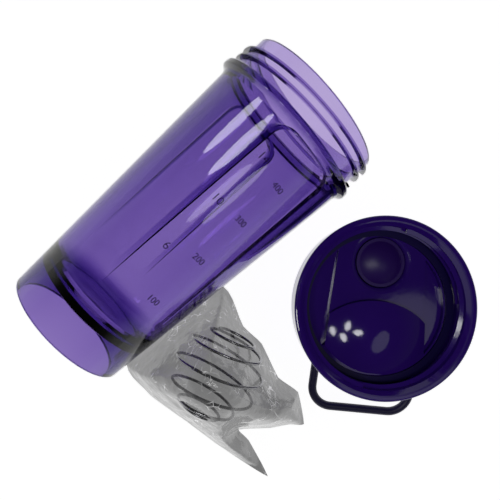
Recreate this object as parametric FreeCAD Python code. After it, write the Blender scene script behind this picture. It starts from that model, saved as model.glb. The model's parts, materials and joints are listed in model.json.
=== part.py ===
import FreeCAD
import Part
import math
import os

# Protein shaker bottle laid out flat: a clear cup on its side, its screw lid inside-up with the flip
# cap under it, and a wire whisk ball in a clear film bag. Millimetres, +Z up, the table at z = 0, and
# +X along the cup from its foot to its mouth. The origin is under the centre of the whole layout.

Vec = FreeCAD.Vector
Z_AXIS = Vec(0, 0, 1)
ORIGIN = Vec(0, 0, 0)

# --- Cup: driving dimensions, along its own axis from the foot ---
CUP_LENGTH = 168.6
FOOT_R = 34.3
FOOT_ROUND = 0.9
SHOULDER_R = 41.8           # body radius just under the collar
SHOULDER_Z = 143.0
COLLAR_R = 45.0
COLLAR_Z = 148.3            # middle of the collar
COLLAR_HALF = 1.8
NECK_R = 40.7
MOUTH_R = 38.6              # bore of the neck
SKIRT_WALL = 4.0
SKIRT_DEPTH = 14.6          # hollow under the floor
FLOOR_WALL = 2.6
FLOOR_CORNER_R = 14.0       # inner corner between floor and wall
SKIRT_GAP = 1.6             # width of the hollow where it narrows between the skirt and the floor's corner
BODY_WALL = 2.4

# --- Grip panels, recessed into the body on two opposite sides ---
PANEL_R = 36.2              # cylinder that the panels are cut to
PANEL_WIDTH = 37.0
PANEL_LOW_Z = 36.0
PANEL_TOP_Z = 144.5
PANEL_CORNER = 8.0
PANEL_ANGLE = 28.0          # from straight up, about the cup's axis
PANEL_BACKING = 1.2         # how far the wall behind a panel spreads past the panel's edges

# --- Screw thread, two starts, right-hand, on the neck and in the lid ---
LEAD = 9.6
STARTS = 2
CUP_CREST_R = 43.2
CUP_THREAD_Z = 154.2        # where the ridges begin, from the foot
CUP_THREAD_TURNS = 1.0
CUP_THREAD_ANGLE = 90.0     # where the first ridge begins, from straight up
LID_CREST_R = 41.9
LID_THREAD_Z = 4.6          # where the ridges begin, from the open edge
LID_THREAD_TURNS = 0.7
LID_THREAD_ANGLE = 100.1    # so that the closed lid's ridges run midway between the cup's
RIDGE_ROOT = 2.3
RIDGE_CREST = 0.9
RIDGE_EMBED = 0.5           # how far a ridge's root reaches into its wall

# --- Lid: z = 0 at the open edge, +z towards the top, +y towards the spout ---
LID_R = 49.4
LID_BORE_R = 44.2
LID_EDGE_ROUND = 1.2
LID_EDGE_WIDTH = 3.3        # land around the open edge
LEAD_IN_Z = 3.2             # depth of the slope from the land to the bore
RING_R = 43.4               # retaining ring under the seal
RING_Z = 12.5
SEAL_OUT_R = 43.2
SEAL_IN_R = 39.0
SEAL_FACE_Z = 16.0
SEAL_THICK = 1.8
PLATE_Z = 18.0              # underside of the channel between the shoulders
SHOULDER_PLATE_Z = 21.0     # underside of the two shoulders
PLATE_WALL = 2.2
CHANNEL_FRONT = 24.6        # half width of the channel at its front and back
CHANNEL_BACK = 28.8
CHANNEL_REACH = 37.0
SPOUT_Y = 24.4
SPOUT_R = 14.2
SPOUT_LIP = 3.4             # radius that rounds the spout's edge inside the lid
SPOUT_WALL = 2.3
SPOUT_TOP_Z = 31.5
WELL_Z = 9.4                # lowest point of the thumb well's domed floor
WELL_SPHERE_R = 75.0
WELL_EDGE_R = 37.3          # keeps the well clear of the cup's mouth
WELL_Y = -17.0
WELL_FRONT_Y = 3.0
WELL_FRONT_R = 42.0

# --- Flip cap, hinge and carry loop ---
CAP_TOP_Z = 37.0
CAP_THICK = 3.2
CAP_GAP = 0.35
CAP_HALF = 17.6             # half width of the cap over the spout
HINGE_Y = -28.0
HINGE_Z = 29.0
PIN_R = 2.0
PIN_CLEAR = 0.05
KNUCKLE_R = 4.6
KNUCKLE_HALF = 20.5
EAR_IN = 21.0
EAR_OUT = 26.0
EYE_IN = 26.5
EYE_OUT = 31.2
LOOP_REACH = 34.5           # from the pin to the middle of the loop's bar
LOOP_SECTION = 4.8
LOOP_BEND_R = 12.0

# --- Whisk: a wire ball with close turns at both ends ---
WHISK_R = 24.2
WHISK_POLE = 24.3           # half length at which the ball's radius would be zero
WIRE_R = 0.8
MID_TURNS = 5.0             # open turns, wide apart in the middle and easing together towards the ends
MID_REACH = 21.6
MID_EASE = 34.2             # degrees of the easing curve in one turn
END_TURNS = 0.5
END_PITCH = 1.2
WIRE_STEPS = 20             # spline points in a turn
WHISK_TILT = 4.0
WHISK_HEADING = 21.7

# --- Whisk bag ---
FILM = 0.6
TENT_FILM = 0.9
TENT_R = 29.2               # of the tent at its widest, about the whisk
# share of TENT_R, height
TENT_LEVELS = ((0.965, 0.0), (1.0, 9.0), (0.97, 29.0), (0.77, 42.0), (0.38, 52.5))
TENT_SIDES = 12

# --- Where the pieces lie ---
CUP_PLACE = Vec(-87.65, 60.14, 34.24)     # centre of the foot
CUP_TILT = math.degrees(math.asin((COLLAR_R - FOOT_R) / COLLAR_Z))
LID_PLACE = Vec(40.65, -44.86, CAP_TOP_Z)  # centre of the open edge
LID_FRONT = math.degrees(math.atan2(0.6643, 0.7475))
WHISK_PLACE = Vec(-49.35, -11.16, WHISK_R + WIRE_R)


def frame_matrix(x_dir, y_dir, z_dir, origin):
    """The placement whose local axes are the three directions given."""
    m = FreeCAD.Matrix(
        x_dir.x, y_dir.x, z_dir.x, origin.x,
        x_dir.y, y_dir.y, z_dir.y, origin.y,
        x_dir.z, y_dir.z, z_dir.z, origin.z,
        0, 0, 0, 1)
    return FreeCAD.Placement(m)


def cup_frame():
    t = math.radians(CUP_TILT)
    along = Vec(math.cos(t), 0, math.sin(t))
    up = Vec(-math.sin(t), 0, math.cos(t))
    return frame_matrix(up, along.cross(up), along, CUP_PLACE)


def lid_frame():
    a = math.radians(LID_FRONT)
    front = Vec(math.cos(a), math.sin(a), 0)
    down = Vec(0, 0, -1)
    return frame_matrix(front.cross(down), front, down, LID_PLACE)


def whisk_frame():
    a = math.radians(WHISK_HEADING)
    t = math.radians(WHISK_TILT)
    along = Vec(math.cos(a) * math.cos(t), math.sin(a) * math.cos(t), math.sin(t))
    side = Vec(-math.sin(a), math.cos(a), 0)
    return frame_matrix(side, along.cross(side), along, WHISK_PLACE)


def placed(shape, placement):
    moved = shape.copy()
    moved.Placement = placement.multiply(moved.Placement)
    return moved


def solid_of(shape):
    """The one solid in a boolean's result."""
    solids = shape.Solids
    return max(solids, key=lambda s: s.Volume)


def revolved(points):
    """A ring or disc turned about z from an outline of (radius, z) points."""
    outline = [Vec(r, 0, z) for r, z in points]
    wire = Part.makePolygon(outline + [outline[0]])
    return Part.Face(wire).revolve(ORIGIN, Z_AXIS, 360)


def quarter(cx, cz, radius, start, stop, steps=6):
    """Points of an arc in the (radius, z) plane, from one angle to another in degrees."""
    angles = [math.radians(start + (stop - start) * i / steps) for i in range(steps + 1)]
    return [(cx + radius * math.cos(a), cz + radius * math.sin(a)) for a in angles]


def prism(points, low, high):
    """A straight-sided block between two heights, from an outline of (x, y) points."""
    outline = [Vec(x, y, low) for x, y in points]
    wire = Part.makePolygon(outline + [outline[0]])
    return Part.Face(wire).extrude(Vec(0, 0, high - low))


def x_cylinder(radius, x_low, x_high, y, z):
    return Part.makeCylinder(radius, x_high - x_low, Vec(x_low, y, z), Vec(1, 0, 0))


def thread_ridges(wall_r, crest_r, start_z, turns, first_angle):
    """The helical ridges of a thread, one for each start; they point outward when crest_r > wall_r."""
    outward = 1 if crest_r > wall_r else -1
    root_r = wall_r - outward * RIDGE_EMBED
    ridges = []
    for start in range(STARTS):
        helix = Part.makeHelix(LEAD, LEAD * turns, root_r)
        section = Part.makePolygon([
            Vec(root_r, 0, -RIDGE_ROOT / 2), Vec(crest_r, 0, -RIDGE_CREST / 2),
            Vec(crest_r, 0, RIDGE_CREST / 2), Vec(root_r, 0, RIDGE_ROOT / 2),
            Vec(root_r, 0, -RIDGE_ROOT / 2)])
        ridge = Part.Wire(helix).makePipeShell([section], True, True)
        ridge.rotate(ORIGIN, Z_AXIS, first_angle + 360.0 * start / STARTS)
        ridge.translate(Vec(0, 0, start_z))
        ridges.append(ridge)
    return ridges


def body_radius(z):
    """Outer radius of the cup's tapered body."""
    return FOOT_R + (SHOULDER_R - FOOT_R) * z / SHOULDER_Z


def cup_inner_radius(z):
    """Bore of the cup, which narrows from the neck to the floor."""
    low_z = SKIRT_DEPTH + FLOOR_WALL
    low_r = body_radius(low_z) - BODY_WALL
    return low_r + (MOUTH_R - low_r) * (z - low_z) / (COLLAR_Z - low_z)


def panel_tool(radius, grow):
    """What lies outside a cylinder of this radius within a grip panel's outline, on the +x side."""
    half = PANEL_WIDTH / 2 + grow
    top = PANEL_TOP_Z + grow
    corner = PANEL_CORNER + grow
    outline = [(-half, PANEL_LOW_Z), (half, PANEL_LOW_Z)]
    outline += quarter(half - corner, top - corner, corner, 0, 90, 8)
    outline += quarter(-half + corner, top - corner, corner, 90, 180, 8)
    points = [Vec(0, y, z) for y, z in outline]
    window = Part.Face(Part.makePolygon(points + [points[0]])).extrude(Vec(COLLAR_R, 0, 0))
    return window.cut(Part.makeCylinder(radius, CUP_LENGTH))


def cup_profile():
    """The cup's outline of (radius, z), round the outside from the foot, then down the inside."""
    collar_low = COLLAR_Z - COLLAR_HALF
    collar_high = COLLAR_Z + COLLAR_HALF
    outside = [(FOOT_R - SKIRT_WALL, 0)]
    outside += quarter(FOOT_R - FOOT_ROUND, FOOT_ROUND, FOOT_ROUND, -90, 0, 4)
    outside += [(SHOULDER_R, SHOULDER_Z), (SHOULDER_R + 0.8, collar_low - 1.2)]
    outside += quarter(COLLAR_R - 1.0, collar_low + 1.0, 1.0, -60, 0, 3)
    outside += quarter(COLLAR_R - 1.0, collar_high - 1.0, 1.0, 0, 90, 3)
    outside += [(NECK_R + 0.8, collar_high), (NECK_R, collar_high + 0.8)]
    outside += quarter(NECK_R - 0.8, CUP_LENGTH - 0.8, 0.8, 0, 90, 3)

    bend_z = SKIRT_DEPTH + FLOOR_WALL + FLOOR_CORNER_R
    bend_x = cup_inner_radius(bend_z) - FLOOR_CORNER_R
    inside = [(MOUTH_R + 0.5, CUP_LENGTH), (MOUTH_R, CUP_LENGTH - 0.5), (MOUTH_R, COLLAR_Z)]
    inside += quarter(bend_x, bend_z, FLOOR_CORNER_R, 0, -90, 10)

    under_r = FLOOR_CORNER_R + FLOOR_WALL
    skirt_r = body_radius(SKIRT_DEPTH) - SKIRT_WALL - 0.4
    rise = math.degrees(math.acos((skirt_r - SKIRT_GAP - bend_x) / under_r))
    underside = [(0, SKIRT_DEPTH + FLOOR_WALL), (0, SKIRT_DEPTH)]
    underside += quarter(bend_x, bend_z, under_r, -90, -rise, 6)
    underside += [(skirt_r, bend_z - under_r * math.sin(math.radians(rise)))]
    return outside + inside + underside


def cup():
    body = revolved(cup_profile())
    inner_wall = SHOULDER_R - 1
    within = revolved([(0, 0), (FOOT_R - 1, 0), (inner_wall, SHOULDER_Z), (inner_wall, COLLAR_Z), (0, COLLAR_Z)])
    for side in range(2):
        turn = 180 * side + PANEL_ANGLE
        recess = panel_tool(PANEL_R, 0)
        backing = panel_tool(PANEL_R - BODY_WALL, PANEL_BACKING)
        for tool in (recess, backing):
            tool.rotate(ORIGIN, Z_AXIS, turn)
        body = body.fuse(backing.common(within)).cut(recess)
    body = solid_of(body)
    for ridge in thread_ridges(NECK_R, CUP_CREST_R, CUP_THREAD_Z, CUP_THREAD_TURNS, CUP_THREAD_ANGLE):
        body = body.fuse(ridge)
    return solid_of(body)


def channel_outline(inset=0.0):
    """Plan of the lid's channel, between its two slightly spreading side walls."""
    front, back = CHANNEL_FRONT - inset, CHANNEL_BACK - inset
    return [(-back, -CHANNEL_REACH), (back, -CHANNEL_REACH), (front, CHANNEL_REACH), (-front, CHANNEL_REACH)]


def well_block(inset, sphere_r, low, high):
    """The thumb well's block: behind a curved front edge, and above a domed floor."""
    centre = Vec(0, WELL_Y, WELL_Z + WELL_SPHERE_R)
    plan = prism(channel_outline(inset), low, high)
    arc_y = WELL_FRONT_Y - WELL_FRONT_R
    rear = Part.makeCylinder(WELL_FRONT_R - inset, high - low, Vec(0, arc_y, low))
    round_edge = Part.makeCylinder(WELL_EDGE_R - inset, high - low, Vec(0, 0, low))
    return plan.common(rear).common(round_edge).common(Part.makeSphere(sphere_r, centre))


def lid_shell():
    top_z = SHOULDER_PLATE_Z + PLATE_WALL
    outside = quarter(LID_R - LID_EDGE_ROUND, LID_EDGE_ROUND, LID_EDGE_ROUND, -90, 0, 4)
    outside += [(LID_R - 0.8, top_z - 5.0)]
    outside += quarter(LID_R - 5.8, top_z - 5.0, 5.0, 0, 90, 5)
    inside = [(0, top_z), (0, SHOULDER_PLATE_Z), (SEAL_IN_R - 1.0, SHOULDER_PLATE_Z)]
    inside += [(SEAL_IN_R - 1.0, SEAL_FACE_Z + SEAL_THICK), (LID_BORE_R, SEAL_FACE_Z + SEAL_THICK)]
    inside += [(LID_BORE_R, RING_Z + 1.0), (RING_R, RING_Z), (LID_BORE_R, RING_Z - 1.0)]
    inside += [(LID_BORE_R, LEAD_IN_Z), (LID_R - LID_EDGE_WIDTH, 0.7), (LID_R - LID_EDGE_WIDTH + 0.7, 0)]
    shell = revolved(outside + inside)

    inner_round = Part.makeCylinder(SEAL_IN_R - 0.6, top_z)
    channel = prism(channel_outline(), PLATE_Z, top_z + 1)
    pocket = prism(channel_outline(PLATE_WALL), PLATE_Z + PLATE_WALL, top_z + 1)
    within = inner_round.common(Part.makeBox(2 * LID_R, 2 * LID_R, top_z, Vec(-LID_R, -LID_R, 0)))
    shell = shell.fuse(channel.common(within)).cut(pocket)

    well = well_block(0, WELL_SPHERE_R, WELL_Z - 1, PLATE_Z + 1.0)
    thumb = well_block(PLATE_WALL, WELL_SPHERE_R - PLATE_WALL, WELL_Z - 1, top_z + 1)
    shell = shell.fuse(well).cut(thumb)

    outer = Part.makeCylinder(SPOUT_R + SPOUT_WALL, SPOUT_TOP_Z - PLATE_Z, Vec(0, SPOUT_Y, PLATE_Z))
    bore = Part.makeCylinder(SPOUT_R, 60, Vec(0, SPOUT_Y, 0))
    lip_r = SPOUT_R + SPOUT_LIP
    lip = revolved([(0, PLATE_Z - 1.0), (lip_r, PLATE_Z - 1.0)]
                   + quarter(lip_r, PLATE_Z + SPOUT_LIP, SPOUT_LIP, 270, 180, 6) + [(0, PLATE_Z + SPOUT_LIP)])
    lip.translate(Vec(0, SPOUT_Y, 0))
    shell = shell.fuse(outer).cut(bore).cut(lip)

    for side in (-1, 1):
        x_low = min(side * EAR_IN, side * EAR_OUT)
        width = EAR_OUT - EAR_IN
        ear = x_cylinder(KNUCKLE_R, x_low, x_low + width, HINGE_Y, HINGE_Z)
        foot = Part.makeBox(width, 2 * KNUCKLE_R, HINGE_Z - PLATE_Z - 1.0,
                            Vec(x_low, HINGE_Y - KNUCKLE_R, PLATE_Z + 1.0))
        shell = shell.fuse(ear).fuse(foot)
    shell = shell.cut(x_cylinder(PIN_R, -EAR_OUT - 1, EAR_OUT + 1, HINGE_Y, HINGE_Z))

    body = solid_of(shell)
    for ridge in thread_ridges(LID_BORE_R, LID_CREST_R, LID_THREAD_Z, LID_THREAD_TURNS, LID_THREAD_ANGLE):
        body = body.fuse(ridge)
    return solid_of(body)


def lid_gasket():
    back_z = SEAL_FACE_Z + SEAL_THICK
    return revolved([(SEAL_IN_R, SEAL_FACE_Z), (SEAL_OUT_R, SEAL_FACE_Z), (SEAL_OUT_R, back_z),
                     (SEAL_IN_R, back_z)])


def flip_cap():
    low = CAP_TOP_Z - CAP_THICK
    lever = prism([(-CAP_HALF, SPOUT_Y), (-CAP_HALF + 3.5, HINGE_Y), (CAP_HALF - 3.5, HINGE_Y),
                   (CAP_HALF, SPOUT_Y)], low, CAP_TOP_Z)
    head = Part.makeCylinder(CAP_HALF, CAP_THICK, Vec(0, SPOUT_Y, low))
    tip = prism([(-7, SPOUT_Y + 15.0), (7, SPOUT_Y + 15.0), (5, SPOUT_Y + 20.5), (-5, SPOUT_Y + 20.5)],
                low, CAP_TOP_Z)
    knuckle = x_cylinder(KNUCKLE_R, -KNUCKLE_HALF, KNUCKLE_HALF, HINGE_Y, HINGE_Z)
    arm_half = CAP_HALF - 3.5
    arm = Part.makeBox(2 * arm_half, 2 * KNUCKLE_R - 1.0, low - HINGE_Z + 1.0,
                       Vec(-arm_half, HINGE_Y - KNUCKLE_R + 0.5, HINGE_Z - 0.5))
    cap = lever.fuse([head, tip, knuckle, arm])
    cap = cap.cut(x_cylinder(PIN_R + PIN_CLEAR, -60, 60, HINGE_Y, HINGE_Z))
    return solid_of(cap.removeSplitter())


def spout_plug():
    """Hollow stopper with a domed end, hanging from the cap into the spout."""
    low = CAP_TOP_Z - CAP_THICK
    radius = SPOUT_R - CAP_GAP
    stem = Part.makeCylinder(radius, low - PLATE_Z - 2.0, Vec(0, SPOUT_Y, PLATE_Z + 2.0))
    dome_r = 22.0
    dome = Part.makeSphere(dome_r, Vec(0, SPOUT_Y, PLATE_Z - 1.6 + dome_r))
    core = Part.makeCylinder(radius, low - PLATE_Z + 6.0, Vec(0, SPOUT_Y, PLATE_Z - 6.0))
    plug = core.common(dome).fuse(stem.common(core))
    hollow = Part.makeCylinder(radius - 2.0, 20, Vec(0, SPOUT_Y, PLATE_Z + 4.0))
    return solid_of(plug.cut(hollow).common(Part.makeCylinder(60, low, Vec(0, 0, 0))))


def hinge_pin():
    return x_cylinder(PIN_R, -EYE_OUT, EYE_OUT, HINGE_Y, HINGE_Z)


def carry_loop():
    """Bail handle: two eyes on the pin, joined by a bar with rounded corners."""
    half = (EYE_IN + EYE_OUT) / 2
    near, far = HINGE_Y, HINGE_Y - LOOP_REACH
    bend = LOOP_BEND_R
    c45 = bend * (1 - math.sqrt(0.5))

    def at(x, y):
        return Vec(x, y, HINGE_Z)

    left = Part.Arc(at(-half, far + bend), at(-half + c45, far + c45), at(-half + bend, far))
    right = Part.Arc(at(half - bend, far), at(half - c45, far + c45), at(half, far + bend))
    edges = [Part.LineSegment(at(-half, near - 2), at(-half, far + bend)), left,
             Part.LineSegment(at(-half + bend, far), at(half - bend, far)), right,
             Part.LineSegment(at(half, far + bend), at(half, near - 2))]
    path = Part.Wire([edge.toShape() for edge in edges])
    section = Part.Wire(Part.makeCircle(LOOP_SECTION / 2, at(-half, near - 2), Vec(0, -1, 0)))
    loop = path.makePipeShell([section], True, False)
    for side in (-1, 1):
        x_low = min(side * EYE_IN, side * EYE_OUT)
        loop = loop.fuse(x_cylinder(KNUCKLE_R, x_low, x_low + EYE_OUT - EYE_IN, HINGE_Y, HINGE_Z))
    loop = solid_of(loop.cut(x_cylinder(PIN_R + PIN_CLEAR, -60, 60, HINGE_Y, HINGE_Z)))
    loop.rotate(Vec(0, HINGE_Y, HINGE_Z), Vec(1, 0, 0), -loop_tilt())
    return loop


def loop_tilt():
    """Angle that lays the loop's bar on the table when the lid lies on its cap."""
    return math.degrees(math.asin((CAP_TOP_Z - HINGE_Z - LOOP_SECTION / 2) / LOOP_REACH))


def whisk_point(turn):
    """A point on the whisk's wire, by the number of turns from its middle."""
    open_turn = min(abs(turn), MID_TURNS / 2)
    along = MID_REACH * math.sin(math.radians(MID_EASE * open_turn))
    along += (abs(turn) - open_turn) * END_PITCH
    radius = WHISK_R * math.sqrt(1 - (along / WHISK_POLE) ** 2)
    angle = 2 * math.pi * turn
    return Vec(radius * math.cos(angle), radius * math.sin(angle), math.copysign(along, turn))


def whisk():
    half = MID_TURNS / 2 + END_TURNS
    count = int(2 * half * WIRE_STEPS)
    points = [whisk_point(half * (2 * i / count - 1)) for i in range(count + 1)]
    curve = Part.BSplineCurve()
    curve.interpolate(points)
    path = Part.Wire(curve.toShape())
    start = curve.tangent(curve.FirstParameter)[0]
    section = Part.Wire(Part.makeCircle(WIRE_R, points[0], start))
    return path.makePipeShell([section], True, True)


def tent(grow):
    """Faceted tent over the whisk, shrunk or grown by the same amount on every side."""
    a = math.radians(WHISK_HEADING)
    rings = []
    for scale, z in TENT_LEVELS:
        ring = []
        for i in range(TENT_SIDES):
            t = 2 * math.pi * i / TENT_SIDES
            radius = TENT_R * scale + grow
            out = Vec(radius * math.cos(a + t), radius * math.sin(a + t), 0)
            ring.append(Vec(WHISK_PLACE.x, WHISK_PLACE.y, z + (grow if z > 0 else 0)) + out)
        rings.append(Part.makePolygon(ring + [ring[0]]))
    return Part.makeLoft(rings, True, True)


def bag_outline():
    """Plan of the bag lying flat: straight beside the cup, with two creased corners at its open end."""
    x, y = WHISK_PLACE.x, WHISK_PLACE.y
    corners = [(-38.0, 36.2), (33.0, 32.4), (26.2, 6.6), (26.2, -8.6), (20.4, -29.5), (22.8, -44.2),
               (14.0, -60.2), (8.0, -54.8), (-2.0, -48.4), (-16.2, -36.2), (-16.0, -45.0),
               (-21.8, -68.0), (-27.0, -50.5), (-31.0, -33.5), (-35.0, -12.0), (-38.5, 4.0),
               (-40.2, 14.0)]
    return [(x + dx, y + dy) for dx, dy in corners]


def whisk_bag():
    flat = prism(bag_outline(), 0, FILM)
    return solid_of(flat.fuse(tent(0)).cut(tent(-TENT_FILM)))


def main():
    os.makedirs("parts", exist_ok=True)
    in_cup = cup_frame()
    in_lid = lid_frame()
    pieces = {
        "cup": placed(cup(), in_cup),
        "lid_shell": placed(lid_shell(), in_lid),
        "lid_gasket": placed(lid_gasket(), in_lid),
        "flip_cap": placed(flip_cap(), in_lid),
        "spout_plug": placed(spout_plug(), in_lid),
        "hinge_pin": placed(hinge_pin(), in_lid),
        "carry_loop": placed(carry_loop(), in_lid),
        "whisk": placed(whisk(), whisk_frame()),
        "whisk_bag": whisk_bag(),
    }
    whole = FreeCAD.BoundBox()
    for name, shape in pieces.items():
        box = shape.optimalBoundingBox(True, False)
        whole.add(box)
        print(name, "valid" if shape.isValid() else "INVALID", "solids", len(shape.Solids),
              "cm3 %.2f" % (shape.Volume / 1000),
              "box %.2f %.2f %.2f" % (box.XMin, box.YMin, box.ZMin),
              "to %.2f %.2f %.2f" % (box.XMax, box.YMax, box.ZMax))
        shape.exportStep("parts/%s.step" % name)
    print("whole centre %.3f %.3f, low %.3f, size %.1f %.1f %.1f" % (
        whole.Center.x, whole.Center.y, whole.ZMin, whole.XLength, whole.YLength, whole.ZLength))


main()
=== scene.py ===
import json
import math

import bpy
import numpy as np
from mathutils import Matrix, Vector, geometry, noise


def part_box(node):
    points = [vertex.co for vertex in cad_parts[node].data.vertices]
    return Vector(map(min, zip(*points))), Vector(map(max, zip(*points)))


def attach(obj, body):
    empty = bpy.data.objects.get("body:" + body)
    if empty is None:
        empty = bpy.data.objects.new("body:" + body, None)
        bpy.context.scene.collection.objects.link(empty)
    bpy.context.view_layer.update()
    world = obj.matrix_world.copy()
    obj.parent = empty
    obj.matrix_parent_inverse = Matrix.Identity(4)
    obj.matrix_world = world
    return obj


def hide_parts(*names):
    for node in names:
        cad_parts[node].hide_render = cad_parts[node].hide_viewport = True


# A clear purple shaker cup on its side, its dark screw lid inside-up, and a wire whisk ball in a clear
# film bag. Metres. The cup's, lid's and whisk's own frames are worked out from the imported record.

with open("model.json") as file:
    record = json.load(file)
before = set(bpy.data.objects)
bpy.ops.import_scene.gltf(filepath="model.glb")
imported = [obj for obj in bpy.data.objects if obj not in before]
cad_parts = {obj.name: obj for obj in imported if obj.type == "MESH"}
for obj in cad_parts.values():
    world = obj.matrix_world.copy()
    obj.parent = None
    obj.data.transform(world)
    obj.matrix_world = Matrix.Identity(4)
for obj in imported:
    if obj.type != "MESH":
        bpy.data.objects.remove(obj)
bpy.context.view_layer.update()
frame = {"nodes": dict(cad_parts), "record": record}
record = frame["record"]
MM = 0.001
RNG = np.random.default_rng(7)


def joint(name):
    return next(j for j in record["behaviour"]["joints"] if j["name"] == name)


def mount(name):
    return next(m for m in record["mounts"] if m["name"] == name)


# --- Frames of the pieces ---
BORE_MIDDLE = 158.2 * MM            # from the foot to the middle of the neck's bore
SHOULDER_R = 41.8 * MM
PANEL_R = 36.2 * MM
PANEL_ANGLE = math.radians(28.0)

cup_along = Vector(mount("cup_mouth")["axis"]).normalized()
cup_base = Vector(mount("cup_mouth")["pos_m"]) - cup_along * BORE_MIDDLE
cup_side = Vector((0, -1, 0))
cup_up = cup_side.cross(cup_along)
lid_place = Vector(joint("lid_turn")["pos_m"])
lid_side = Vector(joint("cap_flip")["axis"]).normalized()
lid_top = Vector((0, 0, -1))
lid_front = lid_top.cross(lid_side)


def cup_point(angle, radius, z):
    """A point about the cup's axis: angle from straight up towards the whisk's side, z from the foot."""
    out = cup_up * math.cos(angle) + cup_side * math.sin(angle)
    return cup_base + cup_along * z + out * radius


def lid_point(x, y, z):
    """A point in the lid's frame: z from the open edge towards the top, y towards the spout."""
    return lid_place + lid_side * x + lid_front * y + lid_top * z


# --- Shader maths ---
class Maths:
    """One number socket in a material. Operators on it add Math nodes."""

    def __init__(self, made, socket):
        self.made = made
        self.socket = socket

    def _do(self, operation, *values):
        args = {i: (v.socket if isinstance(v, Maths) else v) for i, v in enumerate(values)}
        return Maths(self.made, self.made.node("ShaderNodeMath", {"operation": operation}, args).outputs[0])

    def __add__(self, other):
        return self._do("ADD", self, other)

    def __radd__(self, other):
        return self._do("ADD", other, self)

    def __sub__(self, other):
        return self._do("SUBTRACT", self, other)

    def __rsub__(self, other):
        return self._do("SUBTRACT", other, self)

    def __mul__(self, other):
        return self._do("MULTIPLY", self, other)

    def __rmul__(self, other):
        return self._do("MULTIPLY", other, self)

    def __pow__(self, other):
        return self._do("POWER", self, other)

    def clip(self):
        """Held between 0 and 1."""
        return self._do("MAXIMUM", self._do("MINIMUM", self, 1.0), 0.0)


class Finish:
    """A material with one Principled shader, and short ways to add nodes to it."""

    def __init__(self, name, **constants):
        self.material = bpy.data.materials.new(name)
        self.material.use_nodes = True
        self.tree = self.material.node_tree
        self.shader = self.tree.nodes["Principled BSDF"]
        for socket, value in constants.items():
            self.shader.inputs[socket.replace("_", " ")].default_value = value

    def node(self, kind, settings=None, inputs=None):
        n = self.tree.nodes.new(kind)
        for key, value in (settings or {}).items():
            setattr(n, key, value)
        for key, value in (inputs or {}).items():
            if isinstance(value, Maths):
                value = value.socket
            if isinstance(value, bpy.types.NodeSocket):
                self.tree.links.new(value, n.inputs[key])
            else:
                n.inputs[key].default_value = value
        return n

    def place(self):
        return self.node("ShaderNodeNewGeometry").outputs["Position"]

    def grain(self, scale, detail=2.0, stretch=None):
        """Noise over the row frame, from 0 to 1."""
        where = self.place()
        if stretch:
            scaled = self.node("ShaderNodeVectorMath", {"operation": "MULTIPLY"}, {0: where, 1: stretch})
            where = scaled.outputs[0]
        n = self.node("ShaderNodeTexNoise", {}, {"Vector": where, "Scale": scale, "Detail": detail})
        return Maths(self, n.outputs["Fac"])

    def cell_edge(self, scale):
        """Distance to the nearest edge in a net of uneven cells."""
        n = self.node("ShaderNodeTexVoronoi", {"feature": "DISTANCE_TO_EDGE"},
                      {"Vector": self.place(), "Scale": scale})
        return Maths(self, n.outputs[0])

    def tint(self, factor, low, high):
        """A colour that goes from low to high with the factor."""
        n = self.node("ShaderNodeMix", {"data_type": "RGBA"}, {0: factor, 6: (*low, 1), 7: (*high, 1)})
        return n.outputs[2]

    def put(self, socket, value):
        if isinstance(value, Maths):
            value = value.socket
        self.tree.links.new(value, self.shader.inputs[socket])

    def bump(self, height, strength, distance):
        n = self.node("ShaderNodeBump", {}, {"Height": height, "Strength": strength, "Distance": distance})
        self.put("Normal", n.outputs[0])


def clear_purple():
    """The cup's clear moulded plastic: its colour comes from the thickness that light goes through."""
    f = Finish("cup_clear_purple", Base_Color=(0.97, 0.95, 1.0, 1), Transmission_Weight=1.0, IOR=1.43,
               Roughness=0.012)
    absorb = f.node("ShaderNodeVolumeAbsorption", {}, {"Color": (0.34, 0.16, 0.65, 1), "Density": 500.0})
    out = next(n for n in f.tree.nodes if n.type == "OUTPUT_MATERIAL")
    f.tree.links.new(absorb.outputs[0], out.inputs["Volume"])
    streaks = f.grain(60.0, 3.0, (0.4, 2.0, 2.0))
    f.put("Roughness", streaks ** 3 * 0.10 + 0.008)
    f.bump(f.grain(45.0, 1.0), 0.05, 0.0006)
    return f.material


def moulded(name, low, high, roughness, grain_scale=420.0, bump=0.03, specular=0.4):
    """Opaque moulded plastic with a faint grain and uneven gloss."""
    f = Finish(name, Coat_Roughness=0.05, Specular_IOR_Level=specular)
    patch = f.grain(35.0, 4.0)
    f.put("Base Color", f.tint(patch, low, high))
    f.put("Roughness", patch * 0.08 + roughness)
    f.bump(f.grain(grain_scale, 2.0), bump, 0.0004)
    return f.material


def spring_wire():
    f = Finish("whisk_spring_wire", Metallic=1.0)
    drawn = f.grain(900.0, 3.0)
    f.put("Base Color", f.tint(drawn, (0.12, 0.12, 0.13), (0.34, 0.34, 0.35)))
    f.put("Roughness", drawn * 0.15 + 0.20)
    f.bump(drawn, 0.08, 0.0002)
    return f.material


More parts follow.
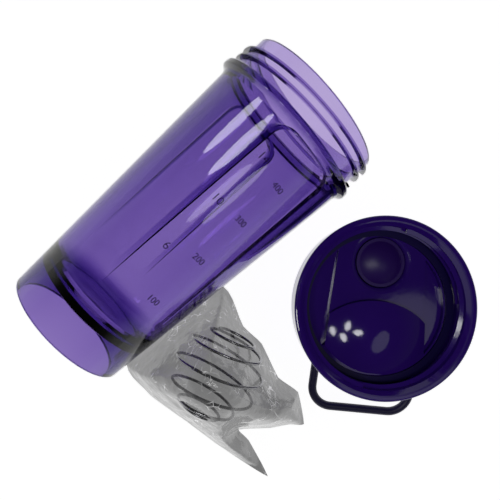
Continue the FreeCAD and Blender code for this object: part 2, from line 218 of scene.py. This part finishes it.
def clear_film():
    """Crinkled packing film: smoky where it lies smooth. Along its sharp creases the colour is whitened and
    made to glow faintly: painted glints, not light from the lamps.
    """
    # The emission strength makes the crease lines glow: a painted glint, since the film is no lamp.
    f = Finish("bag_clear_film", IOR=1.5, Coat_Weight=0.25, Coat_Roughness=0.04, Specular_IOR_Level=0.45,
               Emission_Strength=0.38)
    line = (1.0 - f.cell_edge(95.0) * 30.0).clip() * ((f.grain(60.0, 3.0) - 0.56) * 7.0).clip()
    glint_fleck = (1.0 - f.cell_edge(260.0) * 14.0).clip() * ((f.grain(85.0, 2.0) - 0.57) * 9.0).clip()
    crease_glint = (line + glint_fleck).clip()
    cloud = f.grain(38.0, 4.0)
    # The crease mask whitens the base colour and drives the emission colour: painted glints along the
    # creases.
    f.put("Base Color", f.tint(crease_glint, (0.07, 0.07, 0.073), (0.8, 0.8, 0.82)))
    f.put("Emission Color", f.tint(crease_glint, (0.0, 0.0, 0.0), (1.0, 1.0, 1.0)))
    f.put("Alpha", (cloud * 0.16 + 0.75 + crease_glint * 0.2).clip())
    f.put("Roughness", cloud * 0.10 + 0.06)
    f.bump(f.grain(110.0, 3.0) + f.grain(300.0, 1.0) * 0.12, 0.32, 0.0030)
    return f.material


# --- Mesh helpers ---
def add_object(name, mesh, material, body, smooth=True):
    obj = bpy.data.objects.new(name, mesh)
    bpy.context.scene.collection.objects.link(obj)
    if smooth:
        mesh.polygons.foreach_set("use_smooth", [True] * len(mesh.polygons))
    mesh.materials.append(material)
    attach(obj, body)
    return obj


def round_turn(count):
    """Angles spaced evenly round one turn."""
    return [2 * math.pi * k / count for k in range(count)]


def grid_mesh(name, rows, closed_u=False, closed_v=False):
    """A mesh through a table of points, with quads between neighbours."""
    count_u, count_v = len(rows), len(rows[0])
    verts = [p for row in rows for p in row]
    faces = []
    for i in range(count_u if closed_u else count_u - 1):
        for j in range(count_v if closed_v else count_v - 1):
            a, b = i, (i + 1) % count_u
            c, d = j, (j + 1) % count_v
            faces.append((a * count_v + c, b * count_v + c, b * count_v + d, a * count_v + d))
    mesh = bpy.data.meshes.new(name)
    mesh.from_pydata([tuple(v) for v in verts], [], faces)
    return mesh


# --- Graduations on the near grip panel ---
TEXT_RISE = 0.35 * MM
TEXT_LIFT = 0.1 * MM                # how far the figures stand off the panel
INK_ALPHA = 0.55
OZ_SIZE = 5.6 * MM
ML_SIZE = 4.6 * MM
OZ_ANGLE = PANEL_ANGLE - 0.33
ML_ANGLE = PANEL_ANGLE + 0.09
OZ_MARKS = (("6", 69.0), ("10", 99.8), ("14", 127.3))
ML_MARKS = (("100", 47.0), ("200", 74.9), ("300", 100.7), ("400", 123.3))


def panel_text(name, text, size, angle, z, body_material):
    """Raised figures wrapped on the panel, upright when the cup stands."""
    curve = bpy.data.curves.new(name + "_line", "FONT")
    curve.body = text
    curve.size = size
    curve.extrude = TEXT_RISE / 2
    curve.align_x = "CENTER"
    curve.align_y = "CENTER"
    curve.resolution_u = 3
    holder = bpy.data.objects.new(name + "_line", curve)
    bpy.context.scene.collection.objects.link(holder)
    mesh = bpy.data.meshes.new_from_object(holder.evaluated_get(bpy.context.evaluated_depsgraph_get()))
    bpy.data.objects.remove(holder)
    for v in mesh.vertices:
        x, y, lift = v.co
        v.co = cup_point(angle + x / PANEL_R, PANEL_R + lift + TEXT_LIFT, z + y)
    return add_object(name, mesh, body_material, "cup", smooth=False)


def graduations():
    ink = moulded("graduation_purple", (0.035, 0.012, 0.13), (0.06, 0.02, 0.18), 0.25)
    ink.node_tree.nodes["Principled BSDF"].inputs["Alpha"].default_value = INK_ALPHA
    for text, z in OZ_MARKS:
        panel_text("mark_oz_" + text, text, OZ_SIZE, OZ_ANGLE, z * MM, ink)
    for text, z in ML_MARKS:
        panel_text("mark_ml_" + text, text, ML_SIZE, ML_ANGLE, z * MM, ink)


# --- The whisk's film bag ---
def bag_outline():
    """Plan of the bag, about the whisk: straight beside the cup, with two creased corners at its open end."""
    centre = whisk_centre()
    corners = [(-38.0, 36.2), (33.0, 32.4), (26.2, 6.6), (27.3, -8.4), (21.2, -29.5), (24.0, -44.0),
               (14.0, -60.2), (8.0, -54.8), (-2.0, -48.4), (-16.2, -36.2), (-16.0, -45.0),
               (-21.8, -68.0), (-27.0, -50.5), (-31.0, -33.5), (-35.0, -12.0), (-38.5, 4.0),
               (-40.2, 14.0)]
    return [Vector((centre.x + x * MM, centre.y + y * MM)) for x, y in corners]


def whisk_centre():
    low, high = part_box("whisk")
    return (Vector(low) + Vector(high)) / 2


def softened(points, steps=5):
    """A closed outline through the points, with its corners slightly rounded."""
    out = []
    count = len(points)
    for i in range(count):
        p0, p1, p2, p3 = (points[(i + k) % count] for k in (-1, 0, 1, 2))
        for s in range(steps):
            t = s / steps
            line = p1.lerp(p2, t)
            curve = 0.5 * (2 * p1 + (p2 - p0) * t + (2 * p0 - 5 * p1 + 4 * p2 - p3) * t ** 2
                           + (3 * p1 - p0 - 3 * p2 + p3) * t ** 3)
            out.append(line.lerp(curve, 0.35))
    return out


FILM_STEP = 1.25 * MM
FILM_LOW = 0.5 * MM
FILM_BALL_R = 25.6 * MM             # of the film where it lies tight over the whisk
FILM_LEAVES_R = 17.5 * MM           # how far from the middle it leaves the whisk
EDGE_SLOPE = 2.1                    # how steeply it rises from the bag's edge
FILM_BLEND = 2.5 * MM               # how softly those two slopes meet
CALM_EDGE = 6 * MM                  # the crinkles die down within this distance of the edge


def film_height(p, edge_gap, centre):
    """How high the film lies: over the whisk as a tight skin, down to the table at its edges."""
    out = (Vector((p[0], p[1])) - Vector((centre.x, centre.y))).length
    leaves_z = math.sqrt(FILM_BALL_R ** 2 - FILM_LEAVES_R ** 2)
    if out < FILM_LEAVES_R:
        over = centre.z + math.sqrt(FILM_BALL_R ** 2 - out ** 2)
    else:
        over = centre.z + leaves_z - FILM_LEAVES_R / leaves_z * (out - FILM_LEAVES_R)
    rise = FILM_LOW + edge_gap * EDGE_SLOPE
    mixed = -math.log(math.exp(-over / FILM_BLEND) + math.exp(-rise / FILM_BLEND)) * FILM_BLEND
    return max(mixed, FILM_LOW)


def film_crinkle(spot, edge_gap):
    """Folds, crumples and pleats, as a height to add to the film."""
    fold = noise.ridged_multi_fractal(spot * 42, 0.9, 2.1, 3, 1.0, 2.0)
    crumple = noise.noise(spot * 120) * 0.9 + abs(noise.noise(spot * 210)) * 1.1
    pleat = abs(noise.noise(Vector((spot.x * 26, spot.y * 26, 3.1)))) + 0.5 * abs(noise.noise(spot * 78))
    calm = min(edge_gap / CALM_EDGE, 1.0)
    return (fold * 0.7 + crumple * 0.8 - pleat * 2.6 + 0.6) * MM * (0.30 + 0.70 * calm)


def edge_distance(p, outline):
    best = 1.0
    count = len(outline)
    for i in range(count):
        near, share = geometry.intersect_point_line(Vector((p[0], p[1], 0)), outline[i].to_3d(),
                                                    outline[(i + 1) % count].to_3d())
        share = min(max(share, 0.0), 1.0)
        spot = outline[i].lerp(outline[(i + 1) % count], share)
        best = min(best, (Vector((p[0], p[1])) - spot).length)
    return best


def inside(p, outline):
    hit = False
    count = len(outline)
    for i in range(count):
        a, b = outline[i], outline[(i + 1) % count]
        if (a.y > p[1]) != (b.y > p[1]) and p[0] < (b.x - a.x) * (p[1] - a.y) / (b.y - a.y) + a.x:
            hit = not hit
    return hit


def film_points(outline):
    """The outline's points, then a slightly uneven net of points inside it."""
    xs = [p.x for p in outline]
    ys = [p.y for p in outline]
    points = list(outline)
    row = 0
    y = min(ys)
    while y < max(ys):
        x = min(xs) + (row % 2) * FILM_STEP / 2
        while x < max(xs):
            p = Vector((x + RNG.uniform(-0.2, 0.2) * FILM_STEP, y + RNG.uniform(-0.2, 0.2) * FILM_STEP))
            if inside(p, outline) and edge_distance(p, outline) > FILM_STEP * 0.5:
                points.append(p)
            x += FILM_STEP
        y += FILM_STEP * math.sqrt(0.75)
        row += 1
    return points


def film_bag():
    outline = softened(bag_outline())
    centre = whisk_centre()
    edges = [(i, (i + 1) % len(outline)) for i in range(len(outline))]
    verts, _, faces, _, _, _ = geometry.delaunay_2d_cdt(film_points(outline), edges, [], 1, 1e-6)
    shaped = []
    for v in verts:
        gap = edge_distance(v, outline)
        z = film_height(v, gap, centre) + film_crinkle(Vector((v.x, v.y, 0.0)), gap)
        shaped.append((v.x, v.y, max(z, FILM_LOW)))
    mesh = bpy.data.meshes.new("film_bag")
    mesh.from_pydata(shaped, [], [tuple(f) for f in faces])
    mesh.update()
    film = add_object("film_bag", mesh, clear_film(), "bag", smooth=True)
    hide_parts("whisk_bag")
    return film


# --- Small moulded details of the lid ---
NUB_R = 1.35 * MM
NUB_HEIGHT = 1.0 * MM
NUB_Y = -34.0 * MM
NUB_BASE_Z = 13.2 * MM


def gate_nub(material):
    """A small moulding nub at the back of the thumb well, set into the well's wall."""
    rows = []
    for i in range(7):
        tilt = math.pi / 2 * i / 6
        ring_r = NUB_R * math.cos(tilt)
        ring_z = NUB_BASE_Z - NUB_HEIGHT * math.sin(tilt)
        rows.append([lid_point(ring_r * math.cos(a), NUB_Y + ring_r * math.sin(a), ring_z)
                     for a in round_turn(20)])
    nub = add_object("gate_nub", grid_mesh("gate_nub", rows, closed_v=True), material, "lid")


def bead(name, points, radius, material, body, closed=False):
    """A fine rounded bead through the points, as a moulded edge has."""
    rows = []
    count = len(points)
    for i, p in enumerate(points):
        after = points[(i + 1) % count] if closed or i < count - 1 else p
        before = points[i - 1] if closed or i > 0 else p
        along = (after - before).normalized()
        side = along.cross(lid_top).normalized()
        lift = side.cross(along)
        rows.append([p + (side * math.cos(a) + lift * math.sin(a)) * radius
                     for a in round_turn(10)])
    piece = add_object(name, grid_mesh(name, rows, closed_u=closed, closed_v=True), material, body)


PLATE_Z = 18.0 * MM
WELL_FRONT_Y = 3.0 * MM
WELL_FRONT_R = 42.0 * MM
WELL_HALF = 25.6 * MM               # half length of the well's front edge
SPOUT_Y = 24.4 * MM
PLUG_R = 13.85 * MM


def lid_edges(material, plug_material):
    """Rounded edges of the thumb well and the plug."""
    arc = []
    for k in range(-24, 25):
        x = k * WELL_HALF / 24
        y = WELL_FRONT_Y - WELL_FRONT_R + math.sqrt(WELL_FRONT_R ** 2 - x ** 2)
        arc.append(lid_point(x, y, PLATE_Z + 0.05 * MM))
    bead("well_front_edge", arc, 0.28 * MM, material, "lid")
    ring = [lid_point(PLUG_R * math.cos(a), SPOUT_Y + PLUG_R * math.sin(a), PLATE_Z + 2.75 * MM)
            for a in round_turn(96)]
    bead("plug_edge", ring, 0.22 * MM, plug_material, "cap", closed=True)


# --- Camera, light and floor ---
LENS = 38.79
SENSOR = 36.0
CAMERA_PLACE = (-0.01035, 0.03484, 0.3167)
CAMERA_RIGHT = Vector((0.7403, -0.6691, 0.066))
CAMERA_VIEW = Vector((0.0630, -0.0286, -0.9976))


def camera():
    data = bpy.data.cameras.new("camera")
    data.lens = LENS
    data.sensor_width = SENSOR
    obj = bpy.data.objects.new("camera", data)
    bpy.context.scene.collection.objects.link(obj)
    right = CAMERA_RIGHT.normalized()
    view = CAMERA_VIEW.normalized()
    up = right.cross(view).normalized()
    right = view.cross(up)
    turn = Matrix((right, up, -view)).transposed().to_4x4()
    obj.matrix_world = Matrix.Translation(CAMERA_PLACE) @ turn
    bpy.context.scene.camera = obj


def lamp(name, place, aim, size, glow, only_on=None):
    """A round or oval lamp. glow is its brightness, and only_on lists the pieces that it lights."""
    data = bpy.data.lights.new(name, "AREA")
    data.shape = "ELLIPSE"
    data.size, data.size_y = size
    data.energy = glow * math.pi * math.pi / 4 * size[0] * size[1]
    obj = bpy.data.objects.new(name, data)
    obj.location = place
    obj.rotation_euler = (Vector(aim) - Vector(place)).to_track_quat("-Z", "Y").to_euler()
    bpy.context.scene.collection.objects.link(obj)
    if only_on:
        lit = bpy.data.collections.new(name + "_lights")
        for piece in only_on:
            lit.objects.link(piece)
        obj.light_linking.receiver_collection = lit


def sky():
    """Bright all round the horizon and dark overhead, so that dark plastic stays deep."""
    world = bpy.data.worlds.new("studio")
    bpy.context.scene.world = world
    world.use_nodes = True
    nodes, links = world.node_tree.nodes, world.node_tree.links
    height = nodes.new("ShaderNodeSeparateXYZ")
    links.new(nodes.new("ShaderNodeTexCoord").outputs["Generated"], height.inputs[0])
    ramp = nodes.new("ShaderNodeValToRGB")
    stops = ((0.0, 0.75), (0.20, 0.60), (0.50, 0.09), (0.80, 0.02))
    for i, (place, shade) in enumerate(stops):
        stop = ramp.color_ramp.elements[i] if i < 2 else ramp.color_ramp.elements.new(place)
        stop.position = place
        stop.color = (shade, shade, shade, 1)
    links.new(height.outputs["Z"], ramp.inputs["Fac"])
    links.new(ramp.outputs["Color"], nodes["Background"].inputs["Color"])


FLOOR_Z = -0.0003
FLOOR_HALF = 2
CLUSTER = Vector((-0.112, 0.043, 0.627))    # middle of the ceiling lamps
ACROSS = Vector((0.74, -0.67, 0.0))
AWAY = Vector((0.67, 0.74, 0.0))
CEILING_SPOTS = ((-0.143, 0.0), (0.030, 0.061), (0.137, -0.008), (-0.021, -0.061))
CEILING_SIZE = (0.100, 0.062)
CUP_LAMP_SIZE = (0.136, 0.136)
HIGH, LOW = 9.5, 3.2
CUP_LAMPS = (((0.03, 0.51, 0.474), HIGH), ((-0.005, 0.278, 0.641), HIGH),
             ((-0.02, -0.03, 0.671), LOW), ((0.0, -0.21, 0.616), LOW))


def white_floor():
    mesh = grid_mesh("floor", [[(x, y, FLOOR_Z) for x in (-FLOOR_HALF, FLOOR_HALF)]
                               for y in (-FLOOR_HALF, FLOOR_HALF)])
    floor = bpy.data.objects.new("floor", mesh)
    bpy.context.scene.collection.objects.link(floor)
    f = Finish("floor_white", Roughness=0.9, Specular_IOR_Level=0.1, Base_Color=(0.5, 0.5, 0.5, 1),
               Emission_Color=(1, 1, 1, 1), Emission_Strength=0.96)
    mesh.materials.append(f.material)


def surroundings(film):
    """The sky, the floor, and lamps of which some light only the cup and some only the other pieces."""
    sky()
    white_floor()
    cup_piece = [frame["nodes"]["cup"]]
    others = [obj for name, obj in frame["nodes"].items() if name != "cup"] + [film]
    for i, (right, up) in enumerate(CEILING_SPOTS):
        place = CLUSTER + ACROSS * right + AWAY * up
        lamp("ceiling_lamp_%d" % i, place, (0.01, -0.03, 0), CEILING_SIZE, 15.0, others)
    glow_place = CLUSTER + ACROSS * 0.38 - AWAY * 0.11
    lamp("soft_glow", glow_place, (0.03, -0.05, 0), (0.26, 0.16), 0.9, others)
    for i, (place, glow) in enumerate(CUP_LAMPS):
        lamp("cup_lamp_%d" % i, place, cup_point(0, SHOULDER_R, 0.11), CUP_LAMP_SIZE, glow, cup_piece)


def assign(node, material):
    for material_slot in frame["nodes"][node].material_slots:
        material_slot.material = material


camera()
bpy.context.scene.view_settings.view_transform = "Standard"
assign("cup", clear_purple())
lid_finish = moulded("lid_dark_purple", (0.022, 0.004, 0.15), (0.036, 0.007, 0.21), 0.03)
assign("lid_shell", lid_finish)
assign("flip_cap", moulded("cap_dark_purple", (0.016, 0.005, 0.12), (0.026, 0.008, 0.16), 0.24))
plug_finish = moulded("plug_dark_purple", (0.020, 0.004, 0.11), (0.034, 0.007, 0.15), 0.30, specular=0.3)
assign("spout_plug", plug_finish)
assign("lid_gasket", moulded("seal_dark_purple", (0.004, 0.001, 0.045), (0.008, 0.002, 0.07), 0.40,
                             specular=0.15))
assign("hinge_pin", moulded("pin_dark_purple", (0.014, 0.005, 0.09), (0.022, 0.008, 0.12), 0.30))
assign("carry_loop", moulded("loop_navy", (0.006, 0.004, 0.032), (0.010, 0.007, 0.05), 0.40))
assign("whisk", spring_wire())
graduations()
gate_nub(lid_finish)
lid_edges(lid_finish, plug_finish)
surroundings(film_bag())
